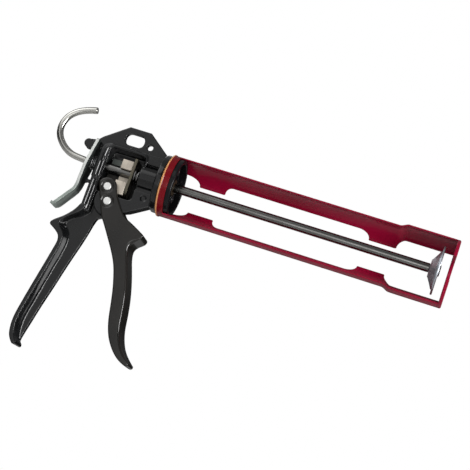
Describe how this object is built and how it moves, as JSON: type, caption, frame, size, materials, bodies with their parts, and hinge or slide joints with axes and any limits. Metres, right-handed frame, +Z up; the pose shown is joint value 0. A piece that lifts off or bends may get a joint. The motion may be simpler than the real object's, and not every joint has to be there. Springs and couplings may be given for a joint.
{
  "type": "caulking gun",
  "caption": "Manual open-cradle caulking gun with turning cradle, push rod with pull hook, trigger, thumb release and nozzle slot.",
  "frame": {"origin": "on the push rod's axis, in the plane of the collar's rim that the cartridge's base rests on", "axes": "+X along the push rod towards the nozzle, +Z up away from the handle, +Y towards the cradle's closed side, so cartridges load from -Y"},
  "size_m": [0.3604, 0.057, 0.2179],
  "materials": {
    "black_casting": "gloss black stove enamel on a die casting",
    "red_sheet": "gloss dark red enamel on pressed steel",
    "rod_steel": "drawn steel, oiled, dark",
    "bright_steel": "bright nickel plate",
    "zinc_steel": "dull zinc plate",
    "piston_steel": "zinc plate, spun",
    "drive_steel": "ground steel, oiled",
    "spring_steel": "drawn spring wire",
    "bronze": "sintered bronze",
    "dark_fastener": "black oxide"
  },
  "bodies": {
    "frame": {"frame_casting": "black_casting", "cartridge_collar": "black_casting", "collar_screws": "dark_fastener", "rod_bush": "bronze", "pivot_pin": "bright_steel", "pivot_pin_clip": "spring_steel", "return_spring": "spring_steel", "release_spring": "spring_steel", "lever_stop_pin": "dark_fastener"},
    "cradle": {"cradle_ring": "red_sheet", "upper_rail": "red_sheet", "lower_rail": "red_sheet", "front_plate": "red_sheet"},
    "piston": {"piston_cone": "piston_steel", "piston_disc": "piston_steel"},
    "rod": {"push_rod": "rod_steel", "pull_hook": "bright_steel", "piston_screw": "dark_fastener"},
    "trigger": {"trigger": "black_casting", "drive_pin": "bright_steel", "drive_pin_clip": "spring_steel"},
    "drive": {"drive_block": "drive_steel", "grip_plate": "drive_steel"},
    "release": {"release_lever": "zinc_steel"}
  },
  "joints": [
    {"name": "cradle_spin", "type": "hinge", "parent": "frame", "child": "cradle", "pos_m": [0, 0, 0], "axis": [1, 0, 0], "continuous": true},
    {"name": "rod_slide", "type": "slide", "parent": "frame", "child": "piston", "axis": [1, 0, 0], "range_m": [-0.222, 0.0045]},
    {"name": "rod_turn", "type": "hinge", "parent": "piston", "child": "rod", "pos_m": [0, 0, 0], "axis": [1, 0, 0], "range_deg": [-90, 90]},
    {"name": "trigger_pull", "type": "hinge", "parent": "frame", "child": "trigger", "pos_m": [-0.0515, 0, -0.0304], "axis": [0, 1, 0], "range_deg": [0, 28], "stiffness_Nm_per_rad": 0.5, "springref_deg": -28.65, "deforming": ["return_spring"]},
    {"name": "plate_feed", "type": "slide", "parent": "frame", "child": "drive", "axis": [1, 0, 0], "range_m": [0, 0.0066]},
    {"name": "release_press", "type": "hinge", "parent": "frame", "child": "release", "pos_m": [-0.0779, 0, 0.0165], "axis": [0, -1, 0], "range_deg": [0, 3.8], "stiffness_Nm_per_rad": 0.4, "springref_deg": -17.19, "deforming": ["release_spring"]}
  ],
  "couplings": [
    {"joint": "plate_feed", "follows": "trigger_pull", "m_per_rad": 0.0127}
  ]
}
